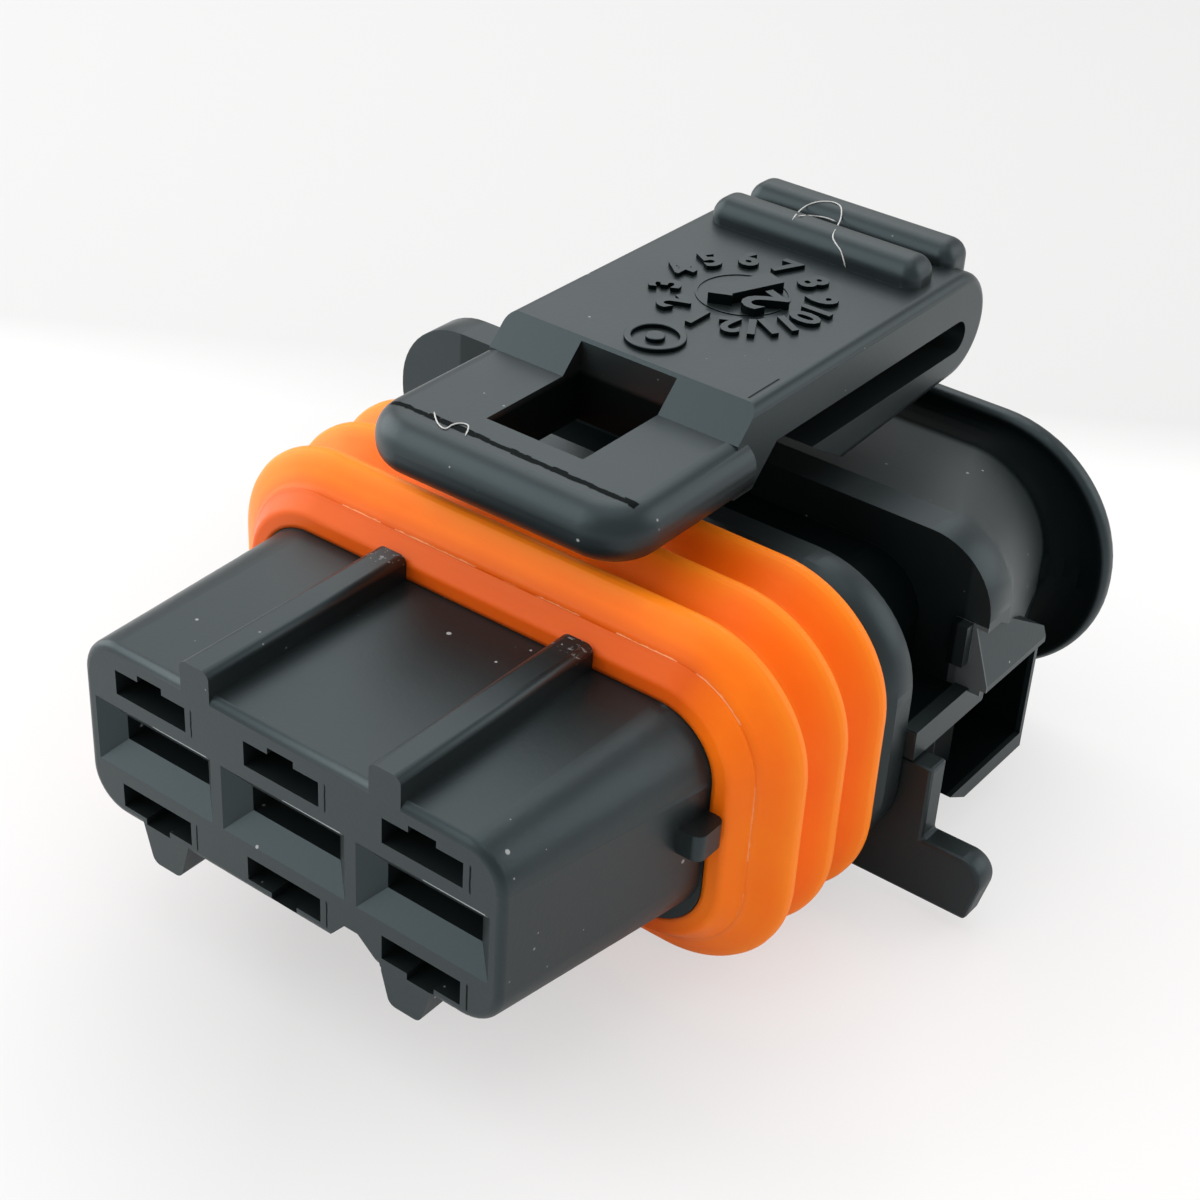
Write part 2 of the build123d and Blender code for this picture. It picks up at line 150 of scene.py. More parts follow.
class Finish:
    # one material and the nodes that feed its Principled shader
    def __init__(self, name):
        self.material = bpy.data.materials.new(name)
        self.material.use_nodes = True
        self.tree = self.material.node_tree
        self.shader = self.tree.nodes["Principled BSDF"]
        self.place = self.node("ShaderNodeTexCoord", {}, {}, "Object")

    def node(self, kind, settings, inputs, output=0):
        # settings come first, then the values or links of the sockets
        made = self.tree.nodes.new(kind)
        for key, value in settings.items():
            if key == "stops":
                ramp = made.color_ramp
                while len(ramp.elements) < len(value):
                    ramp.elements.new(0.5)
                for element, (at, colour) in zip(ramp.elements, value):
                    element.position = at
                    element.color = (*colour, 1)
            else:
                setattr(made, key, value)
        for key, value in inputs.items():
            join(self.tree, value, made.inputs[key])
        return Sock(self.tree, made.outputs[output])

    def axes(self):
        # the three coordinates of the surface point, in millimetres
        split = self.node("ShaderNodeSeparateXYZ", {}, {0: self.place})
        node = split.socket.node
        return [Sock(self.tree, node.outputs[i]) * (1 / mm) for i in range(3)]

    def noise(self, perMm, detail=2.0, roughness=0.5):
        return self.node("ShaderNodeTexNoise", {}, {"Vector": self.place, "Scale": perMm / mm,
                         "Detail": detail, "Roughness": roughness}, "Fac")

    def mix(self, share, first, second):
        return self.node("ShaderNodeMix", {"data_type": "RGBA"}, {0: share, 6: first, 7: second}, 2)

    def tinted(self, share, colour, over):
        # the colour with a share of one plain colour over it
        return self.mix(share, colour, (*over, 1))

    def bump(self, height, depth, strength, under=None):
        # the height, from 0 to 1, raises the skin by up to the depth in millimetres
        inputs = {"Height": height, "Distance": depth * mm, "Strength": strength}
        if under is not None:
            inputs["Normal"] = under
        return self.node("ShaderNodeBump", {}, inputs, "Normal")

    def ramp(self, value, stops):
        return self.node("ShaderNodeValToRGB", {"stops": stops}, {"Fac": value}, "Color")

    def feed(self, inputs):
        # the values or links of the Principled shader's sockets
        for name, value in inputs.items():
            join(self.tree, value, self.shader.inputs[name])
        return self.material

    def surface(self, share, shader):
        # a second shader over the Principled one, as far as its share goes
        own = Sock(self.tree, self.shader.outputs[0])
        both = self.node("ShaderNodeMixShader", {}, {0: share, 1: own, 2: shader})
        join(self.tree, both, self.tree.nodes["Material Output"].inputs["Surface"])


def line(across, width, soft):
    # 1 on a line where across is 0, falling to 0 at its edges
    return ((width / 2 - abs(across)) * (1 / soft) + 0.5).clamp()


def between(value, low, high):
    # 1 where the value lies between two limits, and 0 elsewhere
    return (value > low) * (value < high)


def band(value, ends, steep):
    # from 0 at the first end up to 1, and down to 0 again at the last one, each at its own slope
    return ((value - ends[0]) * steep[0]).clamp() * ((ends[1] - value) * steep[1]).clamp()


# Glass-filled plastic: a noise is given per millimetre, a bump as a depth and a strength
plasticLook = {
    "cloud": {"perMm": 0.3, "detail": 4.0, "roughness": 0.55}, "cloudBump": (0.005, 0.4),
    "grain": {"perMm": 7.0, "detail": 2.0, "roughness": 0.6}, "grainBump": (0.007, 0.5),
    "shades": [(0.35, (0.0058, 0.0080, 0.0084)), (0.65, (0.0075, 0.0100, 0.0104))],
    "specks": 1.5, "speckChance": {"perMm": 0.675, "detail": 0.0}, "speckLevel": 0.49, "speckSize": 0.45,
    "speckSteep": 25, "speckShare": 0.7, "speckColour": (0.45, 0.46, 0.46), "speckRough": 0.3,
    "rough": 0.36, "roughSpread": 0.08, "specular": 0.5, "tint": (0.72, 0.93, 1.0),
    # painted shade: the darker, matt shader that takes over where a part's marks ask for it
    "dullRough": 0.5, "dullSpecular": 0.03, "dullColour": (0.0016, 0.0034, 0.0036),
}


def plasticFinish(name, look, marks=None):
    # a dark base under an even satin gloss, with faint flow clouds, moulding grain and a few pale specks of
    # dust; marks gives the colour and bump of one part's own marks, and where a darker, matt shader of
    # painted shade takes over
    f = Finish(name)
    cloud = f.noise(**look["cloud"])
    grain = f.noise(**look["grain"])
    shade = f.ramp(cloud, look["shades"])
    cells = f.node("ShaderNodeTexVoronoi", {}, {"Vector": f.place, "Scale": look["specks"] / mm,
                   "Randomness": 1.0}, "Distance")
    reach = (f.noise(**look["speckChance"]) - look["speckLevel"]) * look["speckSize"]
    dust = ((reach - cells) * look["speckSteep"]).clamp()
    colour = f.tinted(dust * look["speckShare"], shade, look["speckColour"])
    rough = cloud * look["roughSpread"] + look["rough"] + dust * look["speckRough"]
    normal = f.bump(grain, *look["grainBump"])
    normal = f.bump(cloud, *look["cloudBump"], normal)
    paintedShade = None
    if marks:
        colour, normal, paintedShade = marks(f, look, colour, normal)
    f.feed({"Base Color": colour, "Roughness": rough, "Normal": normal,
            "Specular IOR Level": look["specular"], "Specular Tint": (*look["tint"], 1)})
    if paintedShade is not None:
        # the painted shade: a darker, matt, barely glossy surface over the part where its marks ask for it
        paintedShadeShader = f.node("ShaderNodeBsdfPrincipled", {}, {
            "Base Color": (*look["dullColour"], 1), "Roughness": look["dullRough"], "Normal": normal,
            "Specular IOR Level": look["dullSpecular"]})
        f.surface(paintedShade, paintedShadeShader)
    return f.material


housingLook = dict(
    plasticLook,
    # painted shade in the hollow, the neck and the sunk field
    hollow={"y": (25.6, 27.4), "steep": (2.5, 15)},
    neck={"y": (15.95, 19.12), "steep": (20, 20), "reach": 10.05, "reachSteep": 10},
    field={"x": (8.0, 10.35), "steep": (10, 20), "top": -0.52},
    # the front lines' colour is painted shade in the thin cuts
    frontLine={"x": 1.62, "pitch": 5.0, "width": 0.05, "soft": 0.03, "noise": {"perMm": 3.0},
               "wander": 0.06, "z": 2.0, "long": 0.9, "endSoft": 0.1, "y": 0.05, "reach": 7.8,
               "colour": (0.001, 0.0012, 0.0012), "bump": (0.03, 0.7)},
    # a painted highlight: a pale wedge under each blade mouth's upper edge
    glint={"from": 0.04, "long": 2.1, "top": 1.115, "over": 0.02, "tall": 0.17, "deep": 0.3},
    # painted light on the front of the side lug
    scuff={"y": 19.12, "within": 0.04, "x": 9.75, "z": (-0.52, 1.95), "colour": (0.075, 0.083, 0.085)},
    chips={"y": (7.2, 8.02), "above": 3.75, "noise": {"perMm": 5.0, "detail": 3.0, "roughness": 0.7},
           "level": 0.6, "share": 0.5},
    # pale colour for the painted highlight of the glint and for the real chips
    paleEdge=(0.33, 0.35, 0.35),
)


def housingMarks(f, look, colour, normal):
    # painted shade, from the darker matt shader: the hollow in front of the rear flange, the neck between
    # flange and collar, and the sunk field on the right side
    x, y, z = f.axes()
    h, n, d = look["hollow"], look["neck"], look["field"]
    hollow = band(y, h["y"], h["steep"])
    neck = band(y, n["y"], n["steep"]) * ((n["reach"] - abs(x)) * n["reachSteep"]).clamp()
    field = band(x, d["x"], d["steep"]) * between(y, n["y"][1], h["y"][0]) * (z < d["top"])
    # fine witness lines on the front face, beside the windows above and below each blade mouth, cut in a
    # little and darkened with painted shade
    w = look["frontLine"]
    ways = (x - w["x"]) * (1 / w["pitch"])
    across = (ways - ways.maths("ROUND")) * w["pitch"]
    ragged = (f.noise(**w["noise"]) - 0.5) * w["wander"]
    shadedCut = line(across - ragged, w["width"], w["soft"]) * line(abs(z) - w["z"], w["long"], w["endSoft"])
    shadedCut = shadedCut * (y < w["y"]) * between(x, -w["reach"], w["reach"])
    colour = f.tinted(shadedCut, colour, w["colour"])
    # a painted highlight under the upper edge of each blade mouth: a pale wedge that widens to the right
    g = look["glint"]
    share = (across + w["x"] - g["from"]) * (1 / g["long"])
    paintedGlint = between(share, 0, 1) * between(z, g["top"] - g["tall"], g["top"] + g["over"]) * (y < g["deep"])
    paintedGlint = paintedGlint * ((z - g["top"] + share * g["tall"]) > 0)
    # painted light on the front of the side lug, and pale chips on top of the nose's ribs, just before the
    # seal
    s, c = look["scuff"], look["chips"]
    scuff = (abs(y - s["y"]) < s["within"]) * (x > s["x"]) * between(z, *s["z"])
    colour = f.tinted(scuff, colour, s["colour"])
    chip = between(y, *c["y"]) * (z > c["above"]) * (f.noise(**c["noise"]) > c["level"])
    # the pale colour is painted highlight in the wedges and the real pale of the chips
    colour = f.tinted((paintedGlint + chip * c["share"]).clamp(), colour, look["paleEdge"])
    return colour, f.bump(shadedCut * -1, *w["bump"], normal), (hollow + neck + field + shadedCut).clamp()


latchLook = dict(
    plasticLook,
    groove={"y": 9.44, "x": -0.08, "half": 4.45, "above": 7.7, "width": 0.18, "soft": 0.03, "wander": 0.16,
            "noise": {"perMm": 2.6, "detail": 3.0, "roughness": 0.7}, "bump": (0.12, 1.0)},
    scratch={"width": 0.252, "soft": 0.04, "wander": 0.2, "level": 0.03,
             "noise": {"perMm": 1.4, "detail": 2.0, "roughness": 0.6}},
    witness={"x": 4.1, "y": 15.9, "half": 0.8, "above": 8.2, "width": 0.05, "soft": 0.03, "share": 0.7},
    window={"half": 1.85, "y": (10.3, 15.4), "below": 7.85, "steep": 6},
    # painted shade in the groove, the scratches and the witness line
    cutColour=(0.0006, 0.0008, 0.0008),
)


def latchMarks(f, look, colour, normal):
    # a ragged groove along the lip with broader scratches here and there, and a short witness line beside
    # the mark on the strap, cut in a little and darkened with painted shade; the inside of the window gets
    # painted shade too
    x, y, z = f.axes()
    g = look["groove"]
    along = (abs(x - g["x"]) < g["half"]) * (z > g["above"])
    ragged = f.noise(**g["noise"]) - 0.5
    groove = line(y - g["y"] - ragged * g["wander"], g["width"], g["soft"]) * along
    s = look["scratch"]
    knots = f.noise(**s["noise"]) - 0.5
    scratch = line(y - g["y"] - knots * s["wander"], s["width"], s["soft"]) * along * (knots > s["level"])
    w = look["witness"]
    witness = line(x - w["x"], w["width"], w["soft"]) * (abs(y - w["y"]) < w["half"]) * (z > w["above"])
    shadedCut = (groove + scratch + witness * w["share"]).clamp()
    colour = f.tinted(shadedCut, colour, look["cutColour"])
    # painted shade inside the window
    d = look["window"]
    windowShade = (abs(x) < d["half"]) * between(y, *d["y"]) * ((d["below"] - z) * d["steep"]).clamp()
    return colour, f.bump(shadedCut * -1, *g["bump"], normal), (windowShade + shadedCut).clamp()


# faces that turn less upwards than this get painted shade
figureLook = dict(plasticLook, topFacing=0.6)


def figureMarks(f, look, colour, normal):
    # painted shade on the walls of raised figures, picked by the way they face; their tops shine as the
    # strap does
    facing = f.node("ShaderNodeNewGeometry", {}, {}, "Normal")
    up = f.node("ShaderNodeSeparateXYZ", {}, {0: facing}, 2)
    return colour, normal, up < look["topFacing"]


plastic = plasticFinish("glassFilledPlastic", plasticLook)
figurePlastic = plasticFinish("figurePlastic", figureLook, figureMarks)
housingPlastic = plasticFinish("housingPlastic", housingLook, housingMarks)
latchPlastic = plasticFinish("latchPlastic", latchLook, latchMarks)
print("plastics made")


# Silicone rubber, and the wire seals' own shade of it
siliconeLook = {
    "shades": [(0.3, (0.95, 0.160, 0.004)), (0.7, (1.0, 0.205, 0.005))],
    "cloud": {"perMm": 0.3, "detail": 3.0}, "fine": {"perMm": 4.0, "detail": 2.0}, "fineBump": (0.006, 0.5),
    "rough": 0.36, "roughSpread": 0.1, "specular": 0.2, "tint": (1.0, 0.85, 0.7),
    "lightShare": 0.2, "lightReach": (1.0, 0.25, 0.05), "lightDepth": 0.6,
}
wireSealLook = dict(siliconeLook, shades=[(0.3, (0.70, 0.42, 0.04)), (0.7, (0.80, 0.52, 0.06))])


def siliconeFinish(name, look, marks=None):
    # coloured through, with light that enters and comes out further on, and a smooth skin
    f = Finish(name)
    cloud = f.noise(**look["cloud"])
    fine = f.noise(**look["fine"])
    colour = f.ramp(cloud, look["shades"])
    if marks:
        colour = marks(f, look, colour, fine)
    return f.feed({
        "Base Color": colour, "Roughness": fine * look["roughSpread"] + look["rough"],
        "Normal": f.bump(fine, *look["fineBump"]), "Specular IOR Level": look["specular"],
        "Specular Tint": (*look["tint"], 1), "Subsurface Weight": look["lightShare"],
        "Subsurface Radius": look["lightReach"], "Subsurface Scale": look["lightDepth"] * mm})


contactLook = {
    "shades": [(0.3, (0.62, 0.58, 0.5)), (0.7, (0.74, 0.7, 0.62))], "streak": {"perMm": 6.0, "detail": 2.0},
    "rough": 0.25, "roughSpread": 0.2, "bump": (0.01, 0.3),
}
springLook = dict(contactLook, shades=[(0.3, (0.5, 0.5, 0.5)), (0.7, (0.62, 0.62, 0.62))],
                  streak={"perMm": 8.0, "detail": 2.0}, rough=0.3)


def metalFinish(name, look):
    # thin sheet: fine streaks in its colour, roughness and bump
    f = Finish(name)
    streak = f.noise(**look["streak"])
    return f.feed({"Base Color": f.ramp(streak, look["shades"]), "Metallic": 1.0,
                   "Roughness": streak * look["roughSpread"] + look["rough"],
                   "Normal": f.bump(streak, *look["bump"])})


yellowSilicone = siliconeFinish("yellowSilicone", wireSealLook)
plating = metalFinish("tinPlating", contactLook)
springSteel = metalFinish("springSteel", springLook)
print("rubber and metals made")


# Rounded edges of the mouldings
edges = {
    "width": {"housing": 0.12, "latch_arm": 0.1, "secondary_lock": 0.12}, "segments": 2,
    "weld": 0.0005, "flatAngle": 0.5, "sharpAngle": 35, "flatWeight": 80,
}


def dress(name, material, s):
    # the CAD solid keeps its mesh and gets its material; on the mouldings doubles are merged, flat areas
    # joined, and sharp edges rounded by a bevel
    part = nodes[name]
    part.data.materials.clear()
    part.data.materials.append(material)
    if name in s["width"]:
        weld = part.modifiers.new("weld", "WELD")
        weld.merge_threshold = s["weld"] * mm
        flat = part.modifiers.new("flat", "DECIMATE")
        flat.decimate_type = "DISSOLVE"
        flat.angle_limit = math.radians(s["flatAngle"])
        bevel = part.modifiers.new("edges", "BEVEL")
        bevel.width = s["width"][name] * mm
        bevel.segments = s["segments"]
        bevel.limit_method = "ANGLE"
        bevel.angle_limit = math.radians(s["sharpAngle"])
        bevel.use_clamp_overlap = True
        even = part.modifiers.new("even", "WEIGHTED_NORMAL")
        even.keep_sharp = True
        even.weight = s["flatWeight"]


dress("housing", housingPlastic, edges)
dress("latch_arm", latchPlastic, edges)
dress("secondary_lock", plastic, edges)
for n in (1, 2, 3):
    dress(f"contact_{n}", plating, edges)
    dress(f"contact_spring_{n}", springSteel, edges)
    dress(f"wire_seal_{n}", yellowSilicone, edges)
print("parts dressed")


# Interface seal
seal = {
    "halfWidth": 8.5, "top": 3.2, "bottom": -4.3, "corner": 1.95, "inner": 0.03,  # the core it grips
    "front": 8.0, "frontRound": 0.04, "frontOut": 0.55,
    "flashY": 8.63, "flashOut": 1.02, "flashRound": [(-0.10, -0.07), (-0.03, 0.02), (0.05, -0.02)],
    "crestY": 9.54, "crestOut": 2.08, "crestRadius": 0.34, "crestAngles": (-58, -35, -12, 12, 35, 58),
    "pitch": 2.06, "lips": 3, "valleyOut": 1.15, "valleyHalf": 0.18, "valleyRise": 0.1,
    "back": 14.7, "backOut": 1.25, "backRound": (0.2, 0.1),
    "count": {"corner": 28, "long": 80, "short": 20}, "finer": 4,
}
sealLook = dict(
    siliconeLook,
    # painted highlight on the lips' crests
    crest={"y": seal["crestY"], "pitch": seal["pitch"], "width": 0.45, "steep": 4, "from": 9.0,
           "share": 0.7, "colour": (1.0, 0.25, 0.012)},
    # painted shade on the front flank, fading out at its right end
    flank={"y": 9.0, "steep": 3, "x": 8.6, "sideSteep": 0.7, "share": 0.85, "colour": (0.60, 0.075, 0.004)},
    # painted highlight along the flash line, which the profile shapes as a small ridge
    flash={"y": 8.66, "width": 0.05, "soft": 0.03, "wander": 0.05, "noise": {"perMm": 0.6, "detail": 2.0},
           "level": 0.47, "share": 0.85, "colour": (1.0, 0.52, 0.27)},
)


def sealMarks(f, look, colour, fine):
    # painted highlights on the lips' crests, painted shade on the flank in front of them, and a pale,
    # broken line of painted highlight along the flash
    x, y, _ = f.axes()
    # painted highlight along each crest
    c = look["crest"]
    turn = (y - c["y"]) * (1 / c["pitch"])
    away = abs(turn - turn.maths("ROUND")) * c["pitch"]
    crest = ((c["width"] - away) * c["steep"]).clamp() * (y > c["from"])
    colour = f.tinted(crest * c["share"], colour, c["colour"])
    # painted shade on the flank in front of the lips
    k = look["flank"]
    flank = ((k["y"] - y) * k["steep"]).clamp() * ((k["x"] - x) * k["sideSteep"]).clamp()
    colour = f.tinted(flank * k["share"], colour, k["colour"])
    # a broken line of painted highlight on the flash
    e = look["flash"]
    flash = line(y - e["y"] - (fine - 0.5) * e["wander"], e["width"], e["soft"])
    flash = flash * (f.noise(**e["noise"]) > e["level"])
    return f.tinted(flash * e["share"], colour, e["colour"])


def sealProfile(s):
    # (y, out) round the section: a flat front, the flash line, lips with round crests and shallow valleys
    # between them, and the back
    knots = [(s["front"], s["inner"]), (s["front"] + s["frontRound"], s["frontOut"])]
    knots += [(s["flashY"] + along, s["flashOut"] + out) for along, out in s["flashRound"]]
    for i in range(s["lips"]):
        crest = s["crestY"] + i * s["pitch"]
        for angle in s["crestAngles"]:
            turn = math.radians(angle)
            knots.append((crest + s["crestRadius"] * math.sin(turn),
                          s["crestOut"] - s["crestRadius"] * (1 - math.cos(turn))))
        if i < s["lips"] - 1:
            valley = crest + s["pitch"] / 2
            half, bank = s["valleyHalf"], s["valleyOut"] + s["valleyRise"]
            knots += [(valley - half, bank), (valley, s["valleyOut"]), (valley + half, bank)]
    along, out = s["backRound"]
    knots += [(s["back"] - along, s["backOut"] + out), (s["back"], s["backOut"] - out)]
    knots.append((s["back"], s["inner"]))
    return np.array(knots)


def makeSeal(s):
    # each point of the section is carried round the core on a rounded rectangle grown by its height
    rings = []
    for y, out in finer(sealProfile(s), s["finer"]):
        loop = roundedLoop(s["halfWidth"], s["top"], s["bottom"], s["corner"], out, s["count"])
        rings.append(np.stack([loop[:, 0], np.full(len(loop), y), loop[:, 1]], -1))
    piece = gridMesh("interfaceSeal", np.array(rings), closeU=True, closeV=True)
    piece.data.materials.append(siliconeFinish("orangeSilicone", sealLook, sealMarks))
    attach(piece, "plug")
    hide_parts("interface_seal")


makeSeal(seal)
print("seal made")


def prism(outline, low, high, axis=2):
    # an outline carried along one axis from low to high, as a wall with flat ends: places and faces
    count = len(outline)
    places = np.concatenate([np.insert(np.array(outline, float), axis, end, axis=1) for end in (low, high)])
    faces = [[i, (i + 1) % count, count + (i + 1) % count, count + i] for i in range(count)]
    faces.append(list(range(count, 2 * count)))
    faces.append(list(range(count - 1, -1, -1)))
    return places, faces


def washer(at, inner, outer, low, high, count=64):
    # a flat ring: the section's four corners carried round a circle, as places and faces
    turn = np.linspace(0, 2 * math.pi, count, endpoint=False)[:, None]
    radius = np.array([[inner, outer, outer, inner]])
    height = np.array([[low, low, high, high]])
    points = np.stack([at[0] + radius * np.cos(turn), at[1] + radius * np.sin(turn), height + 0 * turn], -1)
    return points.reshape(-1, 3), gridFaces(points, closeU=True, closeV=True).tolist()


def joinMesh(name, parts):
    # several sets of places and faces in one mesh
    places, faces, start = [], [], 0
    for some, someFaces in parts:
        places.append(some)
        faces += [[i + start for i in face] for face in someFaces]
        start += len(some)
    mesh = bpy.data.meshes.new(name)
    mesh.from_pydata((np.concatenate(places) * mm).tolist(), [], faces)
    mesh.validate()
    return addPiece(name, mesh)


# Date dial on the strap: numbers round a disc, an arrow and one year figure, all raised
dial = {
    "at": (0.1, 20.65), "z": 8.9, "sink": 0.04, "numbers": 12, "first": -60.0, "ring": 2.45, "rise": 0.14,
    "figure": 0.95, "fontShare": 0.7, "bold": 0.05,  # a number's height, and its share of the font's size
    "disc": 1.5, "discWidth": 0.07, "discRise": 0.03,
    "axis": -112.0, "arrow": [(1.33, 0.0), (0.76, 0.52), (0.70, 0.40), (-1.25, 0.40),
                              (-1.25, -0.40), (0.70, -0.40), (0.76, -0.52)], "arrowRise": 0.36,
    "year": "2", "yearSize": 1.35, "yearAside": -1.02, "yearRise": 0.28,
}


def figureMesh(text, size, bold, thick):
    # a plain number made a mesh, centred on its own box, standing thick high
    curve = bpy.data.curves.new("figure", "FONT")
    curve.body = text
    curve.size = size
    curve.extrude = thick / 2
    curve.offset = bold
    curve.bevel_depth = 0
    curve.resolution_u = 3
    holder = addPiece("figure", curve)
    bpy.context.view_layer.update()
    mesh = bpy.data.meshes.new_from_object(holder)
    places = np.empty(len(mesh.vertices) * 3)
    mesh.vertices.foreach_get("co", places)
    places = places.reshape(-1, 3)
    middle = (places.min(0) + places.max(0)) / 2
    faces = [list(face.vertices) for face in mesh.polygons]
    bpy.data.objects.remove(holder)
    bpy.data.meshes.remove(mesh)
    bpy.data.curves.remove(curve)
    return places - middle, faces


def turned(places, at, angle, z):
    # local up becomes the direction at this angle, local right is a quarter turn clockwise from it
    up = np.array([math.cos(angle), math.sin(angle)])
    right = np.array([up[1], -up[0]])
    flat = places[:, :1] * right + places[:, 1:2] * up + np.array(at)
    return np.c_[flat, places[:, 2] + z]


figureEdge = {"width": 0.02, "sharpAngle": 50}


def rideOnLatch(piece, s):
    # raised work on the strap: slightly worn edges, and it moves with the latch
    piece.data.materials.append(figurePlastic)
    bevel = piece.modifiers.new("edges", "BEVEL")
    bevel.width = s["width"] * mm
    bevel.segments = 1
    bevel.limit_method = "ANGLE"
    bevel.angle_limit = math.radians(s["sharpAngle"])
    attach(piece, "latch")


def makeDial(s):
    # each number stands on the ring with its top outwards, one even step on from the last; the arrow points
    # along the axis, and the year figure stands beside it
    low = s["z"] - s["sink"]
    parts = []
    for number in range(1, s["numbers"] + 1):
        angle = math.radians(s["first"] - 360 / s["numbers"] * number)
        thick = s["rise"] + s["sink"]
        places, faces = figureMesh(str(number), s["figure"] / s["fontShare"], s["bold"], thick)
        at = np.array(s["at"]) + s["ring"] * np.array([math.cos(angle), math.sin(angle)])
        parts.append((turned(places, at, angle, low + thick / 2), faces))
    axis = math.radians(s["axis"])
    arrow = np.array(s["arrow"])[:, ::-1]
    outline = turned(np.c_[arrow, np.zeros(len(arrow))], s["at"], axis, 0)[::-1, :2]
    parts.append(prism(outline, low, s["z"] + s["arrowRise"]))
    aside = np.array([math.sin(axis), -math.cos(axis)]) * s["yearAside"]
    thick = s["yearRise"] + s["sink"]
    places, faces = figureMesh(s["year"], s["yearSize"] / s["fontShare"], s["bold"], thick)
    parts.append((turned(places, np.array(s["at"]) + aside, axis, low + thick / 2), faces))
    parts.append(washer(s["at"], s["disc"] - s["discWidth"], s["disc"], low, s["z"] + s["discRise"]))
    rideOnLatch(joinMesh("dateDial", parts), figureEdge)


roundMark = {"at": (-0.1, 16.3), "z": 8.9, "sink": 0.04, "outer": 0.95, "inner": 0.74, "rise": 0.14,
             "pip": 0.3, "pipSides": 24}


def makeRoundMark(s):
    # a raised ring with a round pip in its middle
    low, high = s["z"] - s["sink"], s["z"] + s["rise"]
    turn = np.linspace(0, 2 * math.pi, s["pipSides"], endpoint=False)
    pip = np.array(s["at"]) + s["pip"] * np.stack([np.cos(turn), np.sin(turn)], -1)
    parts = [washer(s["at"], s["inner"], s["outer"], low, high), prism(pip, low, high)]
    rideOnLatch(joinMesh("roundMark", parts), figureEdge)


makeDial(dial)
makeRoundMark(roundMark)
print("dial and mark made")


# The dark wall behind the tie bar, and the bar's outer face in one piece
sideWeb = {
    "inner": 8.4, "web": 9.7, "outer": 10.15, "top": -0.45, "step": -0.8, "low": -4.2, "lean": 0.6,
    "front": 15.9, "lockBack": 17.08, "back": 20.3,
    "tie": 10.5, "tieLow": -1.4, "collar": 19.05, "lap": 0.05,
}
tieBar = {"x": (10.05, 10.53), "z": (-1.39, -0.37), "y": (16.0, 20.2)}


def rideOnPlug(piece, material):
    # part of the housing: it stays with the plug
    piece.data.materials.append(material)
    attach(piece, "plug")


def makeSideWeb(s):
    # sections in X and Z carried along Y: the wall between core and tie bar, clear of the secondary lock,
    # and the bar's end under the lug
    shelf = [(s["inner"], s["top"]), (s["outer"], s["top"]),
             (s["outer"], s["step"]), (s["inner"], s["step"])]
    wall = [(s["inner"], s["step"]), (s["web"], s["step"]), (s["web"], s["low"]),
            (s["inner"] - s["lean"], s["low"])]
    end = [(s["outer"] - s["lap"], s["top"]), (s["tie"], s["top"]), (s["tie"], s["tieLow"]),
           (s["outer"] - s["lap"], s["tieLow"])]
    parts = [prism(shelf, s["front"], s["back"], 1), prism(wall, s["lockBack"], s["back"], 1),
             prism(end, s["collar"], s["back"], 1)]
    rideOnPlug(joinMesh("sideWeb", parts), housingPlastic)


def makeTieBar(s):
    # a flat strip in X and Z carried along Y from flange to lug
    (x0, x1), (z0, z1) = s["x"], s["z"]
    section = [(x0, z1), (x1, z1), (x1, z0), (x0, z0)]
    rideOnPlug(joinMesh("tieBar", [prism(section, *s["y"], 1)]), plastic)


makeSideWeb(sideWeb)
makeTieBar(tieBar)
print("side wall and bar made")


# The camera stands where the photograph was taken from; the table is pale, and the lamps are wide and soft
studio = {
    "pixels": 1200, "sensor": 36.0, "lens": 68.565, "shift": (0.01566, -0.01369), "clip": (0.005, 5.0),
    "eye": (34.712, -34.506, 39.525), "right": (0.78885, 0.61274, 0.04754),
    "up": (-0.36296, 0.40207, 0.84060), "back": (0.49596, -0.68036, 0.53957),
    "floorZ": -6.85, "floorSize": 900.0, "floorColour": (0.82, 0.82, 0.82), "floorRough": 0.7,
    "floorSpecular": 0.2, "floorGlow": 0.62, "glowReach": 18.0,
    "glowMiddle": (0.79, 0.784, 0.78), "glowSides": (0.99, 0.98, 0.975),
    "wall": (0.665, 0.66, 0.655), "wallEdge": ((0, 345), (1200, 458)), "wallSoft": 6.0,
    "world": (1.0, 1.0, 1.0), "worldStrength": 0.66,
    "lamps": [  # place, width and watts at this scale
        {"at": (-67, 106, 126), "size": 150, "power": 0.088},
        {"at": (-175, -25, 80), "size": 200, "power": 0.278},
        {"at": (-95, -104, 116), "size": 170, "power": 0.112},
        {"at": (120, 130, 80), "size": 150, "power": 0.09},
        {"at": (0, 10, 220), "size": 200, "power": 0.085},
        {"at": (-95, -125, 40), "size": 90, "power": 0.022},
    ],
    "aim": (0, 12, 0), "lampSide": (0, 1, 0.01),
}

# Lint: a loop of thread over the ridges with a branch, and a curled fibre on the lip, each drawn on the
# photograph in pixels
lint = {
    "radius": 0.023, "sides": 8, "finer": 4, "smoothing": 3, "aside": (0.3, 0.2, 1.0),
    "tipSteps": 2, "tip": 0.02, "dark": (0.42, 0.42, 0.41), "light": (0.6, 0.6, 0.58), "perMm": 4.0,
    "detail": 3.0, "rough": 0.9,
    "strands": {
        "threadLoop": [(792, 221), (797, 214), (803, 208), (811, 204), (819, 202), (832, 202), (841, 206),
                       (842, 213), (841, 220), (836, 229), (832, 237), (836, 244), (841, 250), (844, 259),
                       (846, 268)],
        "threadBranch": [(797, 217), (806, 216), (815, 216), (823, 217), (830, 219), (837, 222)],
        "lipFibre": [(434, 412), (435, 417), (437, 423), (441, 428), (446, 430), (451, 426), (457, 424),
                     (464, 424), (469, 426), (468, 431), (465, 437)],
    },
}


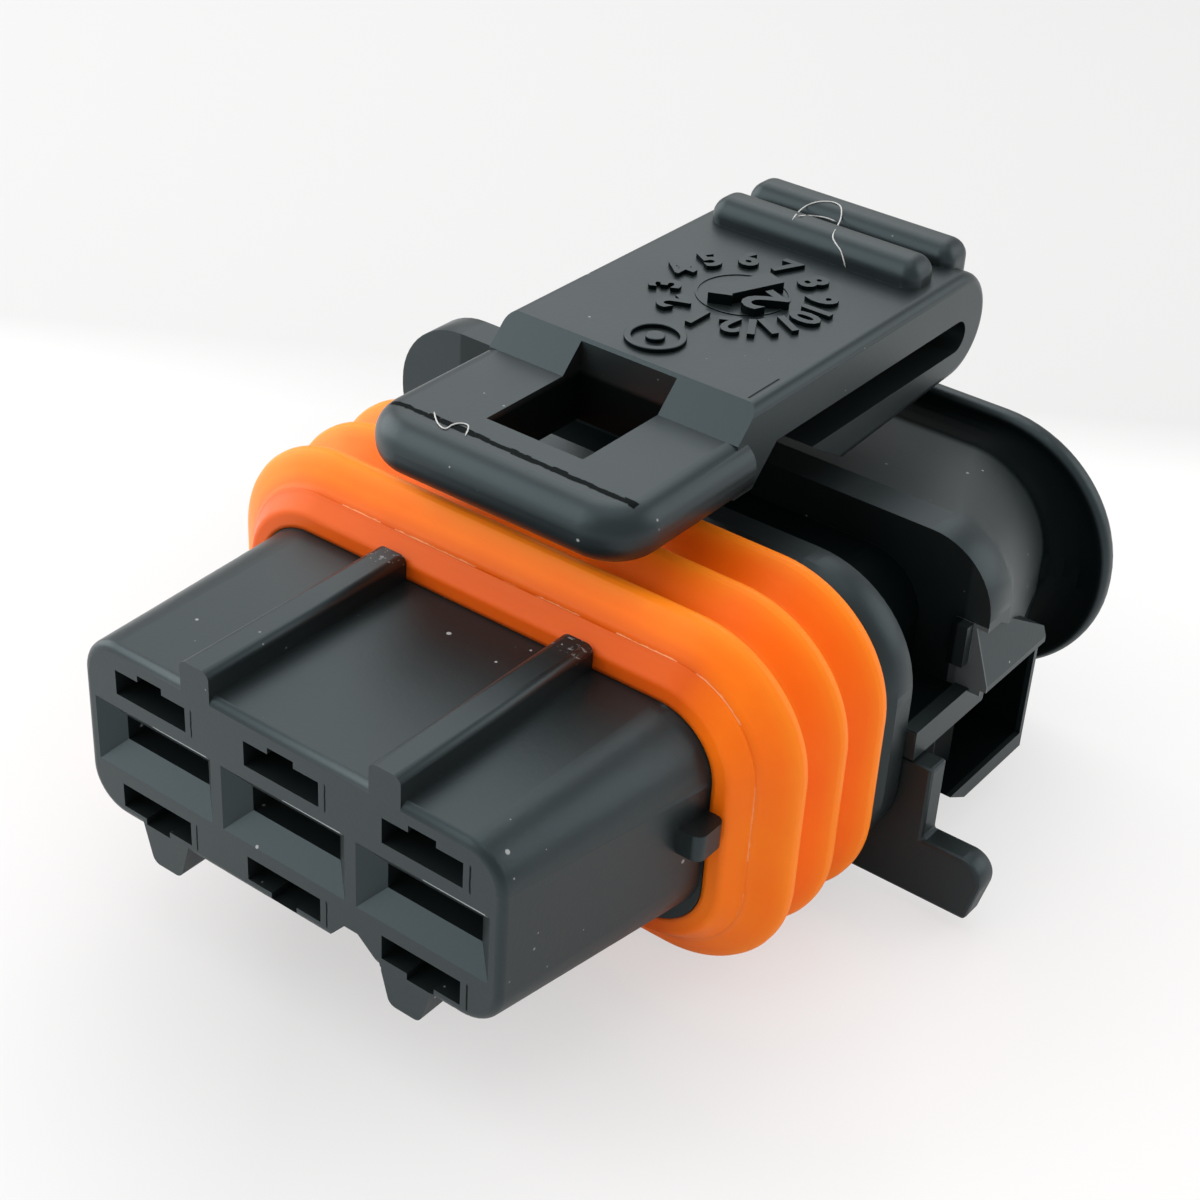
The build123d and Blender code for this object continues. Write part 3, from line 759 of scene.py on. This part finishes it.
def sightLine(px, view):
    # the point of the eye and the direction in which it sees a pixel of the photograph
    wide = view["sensor"] / view["lens"]
    across = (px[0] / view["pixels"] - 0.5 + view["shift"][0]) * wide
    upward = (0.5 - px[1] / view["pixels"] + view["shift"][1]) * wide
    ray = np.array(view["right"]) * across + np.array(view["up"]) * upward - np.array(view["back"])
    return Vector(np.array(view["eye"]) * mm), Vector(ray / np.linalg.norm(ray))


def surfaceUnder(points, view, tree, lift):
    # each pixel's sight line is followed to the surface, and the point is lifted off it along the normal
    found = []
    for px in points:
        eye, ray = sightLine(px, view)
        hit, normal, _, _ = tree.ray_cast(eye, ray)
        if hit is not None:
            found.append(np.array(hit) / mm + np.array(normal) * lift)
    return np.array(found)


def strandTube(name, path, s):
    # a thin round tube: the path is cut finer and smoothed, each of its points gets a circle across its
    # direction, and the circles shrink to a tip at both ends
    path = finer(path, s["finer"])
    for _ in range(s["smoothing"]):
        path[1:-1] = (path[:-2] + 2 * path[1:-1] + path[2:]) / 4
    along = np.gradient(path, axis=0)
    along /= np.linalg.norm(along, axis=1, keepdims=True)
    side = np.cross(along, s["aside"])
    side /= np.linalg.norm(side, axis=1, keepdims=True)
    up = np.cross(side, along)
    turn = np.linspace(0, 2 * math.pi, s["sides"], endpoint=False)[None, :, None]
    fromEnd = np.minimum(np.arange(len(path)), np.arange(len(path))[::-1])
    thick = s["radius"] * np.minimum(1, fromEnd / s["tipSteps"] + s["tip"])
    circles = np.cos(turn) * side[:, None] + np.sin(turn) * up[:, None]
    return gridMesh(name, path[:, None] + thick[:, None, None] * circles, closeV=True)


def makeLint(s, view):
    # every strand lies on the latch where the camera sees it
    part = nodes["latch_arm"]
    places = [part.matrix_world @ vertex.co for vertex in part.data.vertices]
    tree = BVHTree.FromPolygons(places, [list(face.vertices) for face in part.data.polygons])
    f = Finish("lintWhite")
    white = f.mix(f.noise(s["perMm"], s["detail"]), (*s["dark"], 1), (*s["light"], 1))
    material = f.feed({"Base Color": white, "Roughness": s["rough"]})
    for name, points in s["strands"].items():
        piece = strandTube(name, surfaceUnder(points, view, tree, s["radius"]), s)
        piece.data.materials.append(material)
        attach(piece, "latch")


def floorPoint(px, s):
    # where the sight line of a pixel meets the floor
    eye, ray = sightLine(px, s)
    return np.array(eye + ray * ((s["floorZ"] * mm - eye.z) / ray.z)) / mm


def makeFloor(s):
    # the pale table keeps the shadow, and the camera also sees its own glow: brighter to both sides of the
    # plug, and greyer beyond the edge where the wall begins
    half = s["floorSize"] / 2
    low = s["floorZ"]
    floor = gridMesh("floor", np.array([[[-half, -half, low], [-half, half, low]],
                                        [[half, -half, low], [half, half, low]]]), flip=True)
    f = Finish("paleFloor")
    f.feed({"Base Color": (*s["floorColour"], 1), "Roughness": s["floorRough"],
            "Specular IOR Level": s["floorSpecular"]})
    x, y, _ = f.axes()
    aside = abs(x * s["right"][0] + y * s["right"][1]) * (1 / s["glowReach"])
    glow = f.mix(aside.clamp(), (*s["glowMiddle"], 1), (*s["glowSides"], 1))
    first, last = (floorPoint(px, s) for px in s["wallEdge"])
    across = np.array([first[1] - last[1], last[0] - first[0]]) / math.dist(first[:2], last[:2])
    beyond = (x * across[0] + y * across[1] - float(across @ first[:2])) * (1 / s["wallSoft"])
    glow = f.tinted((beyond + 0.5).clamp(), glow, s["wall"])
    glow = f.node("ShaderNodeEmission", {}, {"Color": glow, "Strength": 1.0})
    f.surface(f.node("ShaderNodeLightPath", {}, {}, "Is Camera Ray") * s["floorGlow"], glow)
    floor.data.materials.append(f.material)


def makeLights(s):
    # an even world, and round lamps that all face one point
    world = bpy.data.worlds.new("studio")
    bpy.context.scene.world = world
    world.use_nodes = True
    background = world.node_tree.nodes["Background"]
    background.inputs[0].default_value = (*s["world"], 1)
    background.inputs[1].default_value = s["worldStrength"]
    for i, lamp in enumerate(s["lamps"]):
        data = bpy.data.lights.new(f"lamp{i}", "AREA")
        data.shape = "DISK"
        data.size = lamp["size"] * mm
        data.energy = lamp["power"]
        light = bpy.data.objects.new(f"lamp{i}", data)
        bpy.context.scene.collection.objects.link(light)
        away = np.array(lamp["at"], float) - np.array(s["aim"])
        away = away / np.linalg.norm(away)
        side = np.cross(s["lampSide"], away)
        side = side / np.linalg.norm(side)
        turn = np.stack([side, np.cross(away, side), away], -1)
        place = Matrix.Translation([c * mm for c in lamp["at"]])
        light.matrix_world = place @ Matrix(turn.tolist()).to_4x4()


def makeCamera(s):
    # the camera's three axes are the columns of its turn
    data = bpy.data.cameras.new("photoCamera")
    data.lens = s["lens"]
    data.sensor_width = s["sensor"]
    data.shift_x, data.shift_y = s["shift"]
    data.clip_start, data.clip_end = s["clip"]
    camera = bpy.data.objects.new("photoCamera", data)
    bpy.context.scene.collection.objects.link(camera)
    turn = np.stack([s["right"], s["up"], s["back"]], -1)
    camera.matrix_world = Matrix.Translation([c * mm for c in s["eye"]]) @ Matrix(turn.tolist()).to_4x4()
    bpy.context.scene.camera = camera


makeLint(lint, studio)
print("lint made")
makeFloor(studio)
makeLights(studio)
makeCamera(studio)
bpy.context.scene.view_settings.view_transform = "Standard"
print("studio ready")
